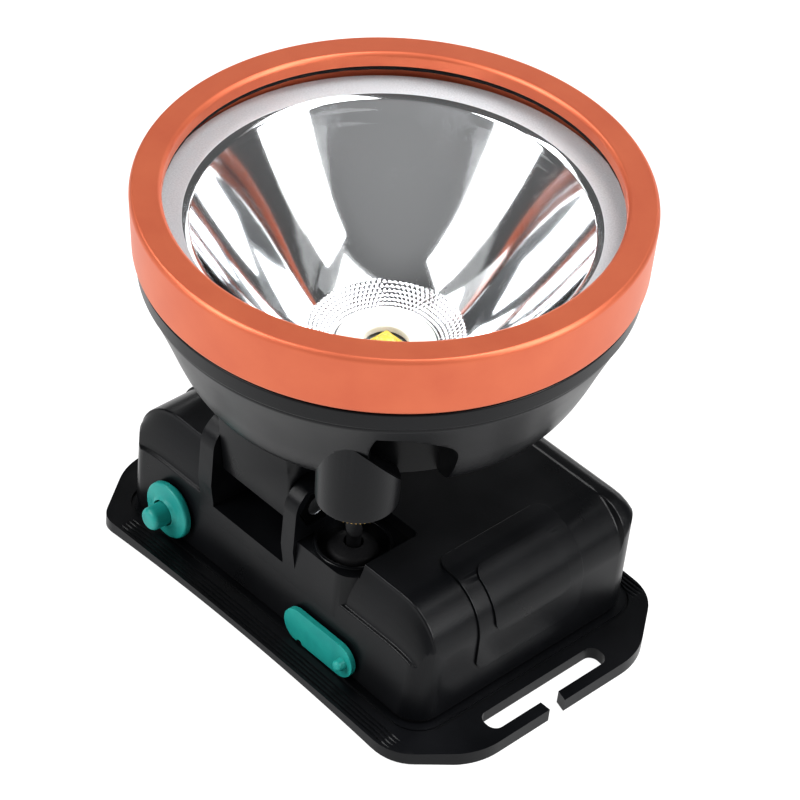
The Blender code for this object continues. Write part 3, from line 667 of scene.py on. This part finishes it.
def endPanel(side, halfY, xStart, zEnd, height):
    # a raised panel that wraps over the box's rounded end
    end = shell["x"] - shell["end"]
    centreZ = shell["top"] - shell["end"]

    def skin(offset):
        curve = [p for p in arc(end, centreZ, shell["end"] + offset, 90, 0, 28) if p[0] > xStart]
        start = [(xStart, centreZ + shell["end"] + offset)] if xStart < end else []
        return start + curve + [(shell["x"] + offset, zEnd)]

    outline = skin(height) + list(reversed(skin(-1.2)))
    stretch = 1 if side > 0 else shell["leftStretch"]
    outline = [(side * x * stretch, z) for x, z in outline]
    panel = rawObject("panel", prism(outline, -halfY, halfY, "y"), basePose)
    x0, x1 = sorted((side * xStart * stretch, side * (xStart * stretch + 40)))
    carve(panel, "INTERSECT", prism(rounded(20, halfY + 0.01, 2.6, (x0 + x1) / 2, 0), -5, 60), basePose)
    carve(panel, "INTERSECT", prism(rounded(halfY + 0.02, 20, 2.6, 0, zEnd + 20), -60, 60, "x"), basePose)
    softenEdges(panel, 0.16, 40)
    return shapeOf(panel)


def hingeLug(x0, x1):
    y, radius = hingeAt[0], shell["lugRadius"]
    outline = [(y + radius, 16)] + arc(*hingeAt, radius, 0, 180, 32) + [(y - radius, 22), (y - 4.0, 16)]
    return prism(outline, x0, x1, "x")


def boxShell():
    obj = rawObject("boxShell", shellBody(), basePose)
    outline = boxed(rounded(shell["x"], shell["y"] + 0.05, shell["corner"], steps=12))
    carve(obj, "INTERSECT", prism(outline, -1, 40), basePose)
    for side in (-1, 1):
        carve(obj, "UNION", endPanel(side, 12.7, 25.1, 9.9, 0.4), basePose)
        carve(obj, "UNION", endPanel(side, 9.1, 30.4, 17.0, 0.8), basePose)
    carve(obj, "DIFFERENCE", prism(rounded(19.15, 15, 1.0, -0.75, -25.0), 24.0, 40), basePose)
    front = [(-20, -11), (-20, -25.8)] + arc(14.5, -21.8, 4, -90, 0, 16) + [(18.5, -11)]
    carve(obj, "UNION", prism(front, 14.0, 24.0), basePose)
    for x0, x1 in ((-20.0, -16.5), (1.9, 5.0)):
        carve(obj, "UNION", hingeLug(x0, x1), basePose)
    rim = softLoop([(6.2, 23.2), (7.0, 23.2), (7.0, 24.35, 0.3), (6.2, 24.35, 0.3)], 3)
    carve(obj, "UNION", turned(rim, 72, shell["wellAt"]), basePose)
    recess = [(-16.5, -40), (1.9, -40), (1.9, -15.2), (-16.5, -15.2)]
    carve(obj, "DIFFERENCE", prism(recess, 17.0, 25), basePose)
    well = [(0, 40), (6.3, 40), (6.3, 22.4), (3.9, 22.4), (3.9, 17.4), (1.9, 17.4), (1.9, 10), (0, 10)]
    carve(obj, "DIFFERENCE", turned(well, 72, shell["wellAt"]), basePose)
    carve(obj, "DIFFERENCE", prism(circle(*silicone["buttonAt"], 4.6), -30, -22, "y"), basePose)
    carve(obj, "DIFFERENCE", prism(rounded(4.5, 1.8, 1.7, *silicone["portAt"]), -30, -22, "y"), basePose)
    carve(obj, "DIFFERENCE", prism(circle(*hingeAt, shell["hingeBore"]), -21, 6, "x"), basePose)
    carve(obj, "DIFFERENCE", prism(circle(*hingeAt, 3.7), -21, -17.9, "x"), basePose)  # the screw's head
    carve(obj, "DIFFERENCE", prism(circle(*hingeAt, 4.3, 6), 3.0, 6, "x"), basePose)  # the nut
    softenEdges(obj, shell["soft"], 42)
    finishPiece(obj, blackAbs, "base", ["box_shell"])


basePlate()
print("base plate is built")
boxShell()
print("box shell is built")

def buttonParts():
    bx, bz = silicone["buttonAt"]
    at = (bx, silicone["buttonY"], bz)
    flange = [(2.5, 0.1), (4.2, 0.1), (4.2, 1.9), (5.5, 1.9, 0.2), (5.5, 3.2, 0.5), (3.2, 3.5, 0.6),
              (2.5, 4.1, 0.2)]
    boot = rawObject("buttonBoot", facing(turned(softLoop(flange), 96), "y", at), basePose)
    finishPiece(boot, teal, "base", ["button_boot"], 50)
    nub = [(0, 0)] + softLoop([(2.2, 0), (2.2, 7.4, 1.6), (0.01, 7.5)], 8) + [(0, 7.5)]
    plunger = rawObject("buttonNub", facing(turned(nub, 72), "y", at), basePose)
    finishPiece(plunger, teal, "button", ["button_plunger"], 50)


def portPlug():
    (left, right), radius, z = silicone["plugEnds"], silicone["plugRadius"], silicone["portAt"][1]
    outline = arc(right - radius, z, radius, -90, 90, 24) + arc(left + radius, z, radius, 90, 270, 24)
    obj = rawObject("portPlug", prism(outline, -27.3, -26.3, "y", 0.35), basePose)
    carve(obj, "UNION", prism(rounded(4.0, 1.5, 1.4, *silicone["portAt"]), -26.8, -24.1, "y"), basePose)
    nub = [(0, 0)] + softLoop([(1.15, 0), (1.0, 2.0, 0.7), (0.01, 2.2)], 6) + [(0, 2.2)]
    carve(obj, "UNION", facing(turned(nub, 48), "y", (silicone["nubX"], -26.9, z)), basePose)
    carve(obj, "DIFFERENCE", prism(circle(*silicone["notchAt"], 0.8), -28, -26, "y"), basePose)
    softenEdges(obj, 0.15, 50)
    finishPiece(obj, teal, "plug", ["port_plug"], 50)


buttonParts()
portPlug()
print("rubber parts are built")

bezel = {"mouth": 38.0, "outer": 43.4, "foot": 42.98, "bore": 40.6, "deep": 11.4, "lip": 2.8}


def bezelRing():
    # a turned ring: flat face, small polished breaks at both edges, slightly tapered side
    mouth, outer, foot, bore, deep = (bezel[k] for k in ("mouth", "outer", "foot", "bore", "deep"))
    loop = [(mouth, -0.55, 0.35), (mouth + 0.5, 0.0, 0.3), (outer - 0.5, 0.0, 0.3), (outer, -0.7, 0.4),
            (foot, 0.5 - deep, 0.3), (foot - 0.38, -deep, 0.3), (bore, -deep), (bore, -bezel["lip"]),
            (mouth, -bezel["lip"], 0.2)]
    obj = rawObject("bezelRing", turned(softLoop(loop), 256), lampPose)
    finishPiece(obj, copper, "head", ["bezel_ring"])


reflector = {"top": 6.5, "throat": 32.8, "throatRadius": 9.2, "steepness": 40.0, "wall": 0.9, "rim": 34.7}


def reflectorRadius(d):
    # a parabola that ends at the throat
    return math.sqrt(reflector["throatRadius"] ** 2 + reflector["steepness"] * (reflector["throat"] - d))


def reflectorCup():
    top, throat = reflector["top"], reflector["throat"]
    inner = [(reflectorRadius(d), -d) for d in [top + (throat - top) * (i / 60) for i in range(61)]]
    outer = [(reflectorRadius(d) + reflector["wall"], -d) for d in (throat, 29, 25, 21, 17, 13, 9.5)]
    lip = [(9.0, -32.9), (9.25, -33.15), (9.9, -33.0)]
    loop = [(39.9, -6.0), (34.9, -6.0), (reflector["rim"], -6.1)] + inner + lip + outer
    loop += [(36.0, -7.6), (37.4, -7.0), (39.9, -7.0)]
    obj = rawObject("reflectorCup", turned(loop[::-1], 256), lampPose)
    finishPiece(obj, mirror, "head", ["reflector"], 40)
    obj.data.materials.append(rimHaze)
    for face in obj.data.polygons:
        if face.center.z > -6.2 * mm and face.center.xy.length > reflector["rim"] * mm:
            face.material_index = 1


lens = {"radius": 39.9, "front": -3.85, "back": -5.7}


def lensDisc():
    radius, front, back = lens["radius"], lens["front"], lens["back"]
    disc = [(0, front)] + softLoop([(radius, front, 0.2), (radius, back, 0.2)]) + [(0, back)]
    obj = rawObject("lensDisc", turned(disc, 192), lampPose)
    finishPiece(obj, glass, "head", ["lens"])


led = {"half": 2.5, "low": -34.05, "high": -33.2, "domeRadius": 1.9, "domeAt": -33.5}


def lightEngine():
    base = prism(rounded(led["half"], led["half"], 0.3), led["low"], led["high"], "z", 0.08)
    emitter = rawObject("ledEmitter", base, lampPose)
    radius, at = led["domeRadius"], led["domeAt"]
    dome = [(radius * math.sin(math.radians(a)), at + radius * math.cos(math.radians(a)))
            for a in range(8, 91, 8)]
    dome = [(0, at + radius)] + dome + [(radius, at - 0.1), (0, at - 0.1)]
    carve(emitter, "UNION", turned(dome, 48), lampPose)
    finishPiece(emitter, phosphor(), "head", ["led_emitter"])
    ring = softLoop([(3.9, -32.6, 0.3), (8.7, -32.5, 0.3), (8.7, -33.9), (3.9, -33.9)])
    gasket = rawObject("centringRing", turned(ring, 96), lampPose)
    finishPiece(gasket, cream, "head", ["led_centring_ring"])


housing = {"bossAt": (19.9, -5.6), "bossFoot": 16.3, "bossRadius": 7.0, "bossBore": 6.0, "bossLowest": 20.5,
           "armRadius": 5.2, "armX": (-16.2, 1.6), "pocketFrom": 13.0, "pocketDown": 19.0, "pocketArch": 9.0,
           "pocketRadii": (50, 28.5), "pocketAngles": (42, 64.5), "soft": 0.25}


def nichePocket():
    # an arched pocket let into the bowl beside the boss
    low, high, sections = housing["pocketFrom"], faceAt[1] - housing["pocketDown"], []
    outside, inside = housing["pocketRadii"]
    left, right = housing["pocketAngles"]
    for i in range(22):
        t = i / 21
        z = low + (high - low) * (1 - (1 - t) ** 2)
        rise = max(0.0, (z - (high - housing["pocketArch"])) / housing["pocketArch"])
        start = left + 2 * rise ** 3
        end = right - 14 * rise ** 3
        section = []
        for radius, first, last in ((outside, start, end), (inside, end, start)):
            for k in range(17):
                angle = math.radians(first + (last - first) * k / 16 - 90)
                section.append((radius * math.cos(angle), faceAt[0] + radius * math.sin(angle), z))
        sections.append(section)
    return loft(sections)


def headHousing():
    outer = [(40.3, -7.3), (40.3, -8.8), (39.3, -8.8), (39.3, -10.2), (40.3, -10.2), (40.3, -11.7),
             (42.6, -11.7, 0.4), (42.2, -15.2, 0.25), (41.6, -15.5, 0.15), (41.6, -16.2, 1.0), (40.0, -20.0, 2.0),
             (38.4, -24.0, 2.0), (36.9, -28.0, 2.0), (35.6, -31.0, 2.0), (34.4, -33.2, 1.2), (32.8, -35.0, 1.2),
             (30.2, -36.4, 1.2), (27.0, -37.0, 1.5), (14.8, -37.1), (14.6, -42.4, 0.6), (13.5, -43.0, 0.4)]
    profile = [(0, -7.3), outer[0]] + softLoop(outer, 5)[1:] + [(0, -43.0)]
    obj = rawObject("headHousing", turned(profile, 224), lampPose)
    carve(obj, "DIFFERENCE", nichePocket(), hingePose)
    foot, radius = housing["bossFoot"], housing["bossRadius"]
    boss = softLoop([(radius - 0.1, foot, 0.9), (6.95, 17.6), (6.97, 19.5), (radius, 34.5)], 5)
    boss = turned([(0, foot)] + boss + [(0, 37.5)], 96, housing["bossAt"])
    for vert in boss.verts:  # its top dips with the bowl beside the pocket
        if vert.co.z > 30:
            vert.co.z = max(housing["bossLowest"], 29.3 - 1.16 * (vert.co.y + 8.2))
    carve(obj, "UNION", boss, hingePose)
    radius = housing["armRadius"]
    outline = [(radius, 19.85)] + arc(0, 0, radius, 0, -62, 18)
    outline += [(-2.96, -4.65), (-4.28, 7.75), (-5.65, 19.85)]
    arm = prism(outline, *housing["armX"], "x")
    edges = [e for e in arm.edges if all(v.co.x > 1.5 and v.co.y < -2 for v in e.verts)]
    bmesh.ops.bevel(arm, geom=edges, offset=1.2, segments=6, profile=0.5, affect="EDGES")
    carve(obj, "UNION", arm, hingePose)
    hollow = [(0, 6), (37.9, 6), (37.9, -12.5), (29.6, -17.0), (26.8, -19.0), (26.8, -35.2), (13.1, -35.2),
              (13.1, -41.2), (0, -41.2)]
    carve(obj, "DIFFERENCE", turned(hollow, 96), lampPose)
    carve(obj, "DIFFERENCE", prism(circle(0, 0, shell["hingeBore"]), -30, 20, "x"), hingePose)
    wide = housing["bossBore"]
    bore = [(0, 0), (wide, 0), (wide, 18.7), (1.8, 18.7), (1.8, 43), (0, 43)]
    carve(obj, "DIFFERENCE", turned(bore, 64, housing["bossAt"]), hingePose)
    softenEdges(obj, housing["soft"], 42)
    finishPiece(obj, blackAbs, "head", ["head_housing"])


collar = {"teeth": 48, "crest": 0.08, "gap": -0.16}


def glandCollar():
    # a knurled nut: straight teeth round the outside
    steps = collar["teeth"] * 4
    profile = softLoop([(1.7, 18.3), (5.6, 18.3), (5.6, 15.2, 0.3), (4.9, 14.85, 0.2), (1.7, 14.85, 0.2)], 3)
    rings = []
    for k in range(steps):
        a = 2 * math.pi * k / steps
        bite = (0.0, collar["crest"], 0.0, collar["gap"])[k % 4]
        reach = [(r + (bite if r > 3.5 else 0), z) for r, z in profile]
        x, y = housing["bossAt"]
        rings.append([(x + r * math.cos(a), y + r * math.sin(a), z) for r, z in reach])
    obj = rawObject("glandCollar", loft(rings, True), hingePose)
    finishPiece(obj, brass, "head", ["gland_collar"])


bezelRing()
reflectorCup()
lensDisc()
lightEngine()
print("bezel, lens and reflector are built")
headHousing()
glandCollar()
print("head housing is built")

lead = {"radius": 1.3,
        "route": [(19.9, -28.15, 49.0), (19.9, -27.95, 45.4), (19.3, -27.2, 41), (17.2, -25.2, 36),
                  (14.4, -21.8, 31.5), (12.0, -19.2, 28), (11.2, -18.4, 24.5), (11.2, -18.4, 20.5),
                  (11.2, -18.4, 16.6)]}


def curveThrough(points, steps):
    # a smooth path through every point
    knots = [Vector(p) for p in points]
    knots = [2 * knots[0] - knots[1]] + knots + [2 * knots[-1] - knots[-2]]
    path = []
    for a, b, c, d in zip(knots, knots[1:], knots[2:], knots[3:]):
        for k in range(steps):
            t = k / steps
            path.append(0.5 * (2 * b + (c - a) * t + (2 * a - 5 * b + 4 * c - d) * t ** 2
                               + (3 * b - a - 3 * c + d) * t ** 3))
    return path + [knots[-2]]


def powerLead():
    path = curveThrough(lead["route"], 6)
    sections, radius = [], lead["radius"]
    side = Vector((1, 0, 0))
    for i, point in enumerate(path):
        along = (path[min(i + 1, len(path) - 1)] - path[max(i - 1, 0)]).normalized()
        side = (side - along * side.dot(along)).normalized()
        other = along.cross(side)
        sections.append([point + side * radius * math.cos(a) + other * radius * math.sin(a)
                         for a in (2 * math.pi * k / 24 for k in range(24))])
    obj = rawObject("powerLead", loft(sections), basePose)
    obj.data.materials.append(rubber)
    obj.data.shade_smooth()
    obj.data.set_sharp_from_angle(angle=math.radians(40))
    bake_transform(obj)
    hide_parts("power_lead")
    sleeve = softLoop([(1.65, 17.7), (3.6, 17.7), (3.6, 22.7), (4.6, 22.7, 0.2), (4.2, 23.7, 0.6),
                       (2.6, 24.4, 0.5), (1.65, 24.6, 0.3)])
    grommet = rawObject("leadGrommet", turned(sleeve, 72, shell["wellAt"]), basePose)
    finishPiece(grommet, rubber, "base", ["lead_grommet"], 50)


screws = {"hingeRadius": 2.0, "hingeHead": 3.4, "socket": 1.5, "nut": 4.0, "turns": 24, "pitch": 0.36,
          "baseRadius": 0.9, "baseHead": 1.9}


def hingeScrew():
    radius, head = screws["hingeRadius"], screws["hingeHead"]
    shank = softLoop([(radius, 4.9, 0.3), (radius, -18.2), (head, -18.2, 0.2), (head, -19.9, 0.4)], 4)
    profile = [(0, 4.9)] + shank + [(0, -19.9)]
    screw = rawObject("hingeScrew", facing(turned(profile, 64), "x", (0, *hingeAt)), basePose)
    carve(screw, "DIFFERENCE", prism(circle(*hingeAt, screws["socket"], 6), -25, -18.9, "x"), basePose)
    finishPiece(screw, steel, "base", ["hinge_screw"])
    nut = rawObject("hingeNut", prism(circle(*hingeAt, screws["nut"], 6), 3.3, 4.9, "x"), basePose)
    softenEdges(nut, 0.2, 40)
    carve(nut, "DIFFERENCE", prism(circle(*hingeAt, shell["hingeBore"]), 0, 9, "x"), basePose)
    finishPiece(nut, darkNutSteel, "base", ["hinge_nut"])


def baseScrews():
    for number, centre in enumerate(screwPlaces, 1):
        radius, head = screws["baseRadius"], screws["baseHead"]
        thread = [(radius if i % 2 else 0.8 * radius, 11.6 - i * screws["pitch"])
                  for i in range(screws["turns"])]
        profile = [(0, 11.8)] + thread
        profile += softLoop([(radius, 2.4), (head, 2.4, 0.2), (head, 1.5, 0.25)], 3) + [(0, 1.5)]
        screw = rawObject(f"baseScrew{number}", turned(profile, 40, centre), basePose)
        for hu, hv in ((1.2, 0.22), (0.22, 1.2)):
            cross = rounded(hu, hv, 0.05, centre[0], centre[1], 2)
            carve(screw, "DIFFERENCE", prism(cross, 1.0, 2.1), basePose)
        finishPiece(screw, steel, "base", [f"base_screw_{number}"])


powerLead()
hingeScrew()
baseScrews()
print("lead and screws are built")

# The inner pieces keep their solids and only take a finish
inside = {
    "battery_cell_1": shrinkWrap(), "control_board": solderMask(), "lens_gasket": rubber, "base_seal": rubber,
    "housing_o_ring": rubber, "contact_strip_1": steel, "contact_strip_2": steel, "charge_socket": steel,
    "board_screw_1": steel, "board_screw_2": steel, "led_star_board": aluminium, "heat_sink_disc": aluminium,
    "tact_switch": blackAbs,
}
inside["battery_cell_2"] = inside["battery_cell_1"]
for node, finish in inside.items():
    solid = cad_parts[node]
    for place in solid.material_slots:
        place.material = finish
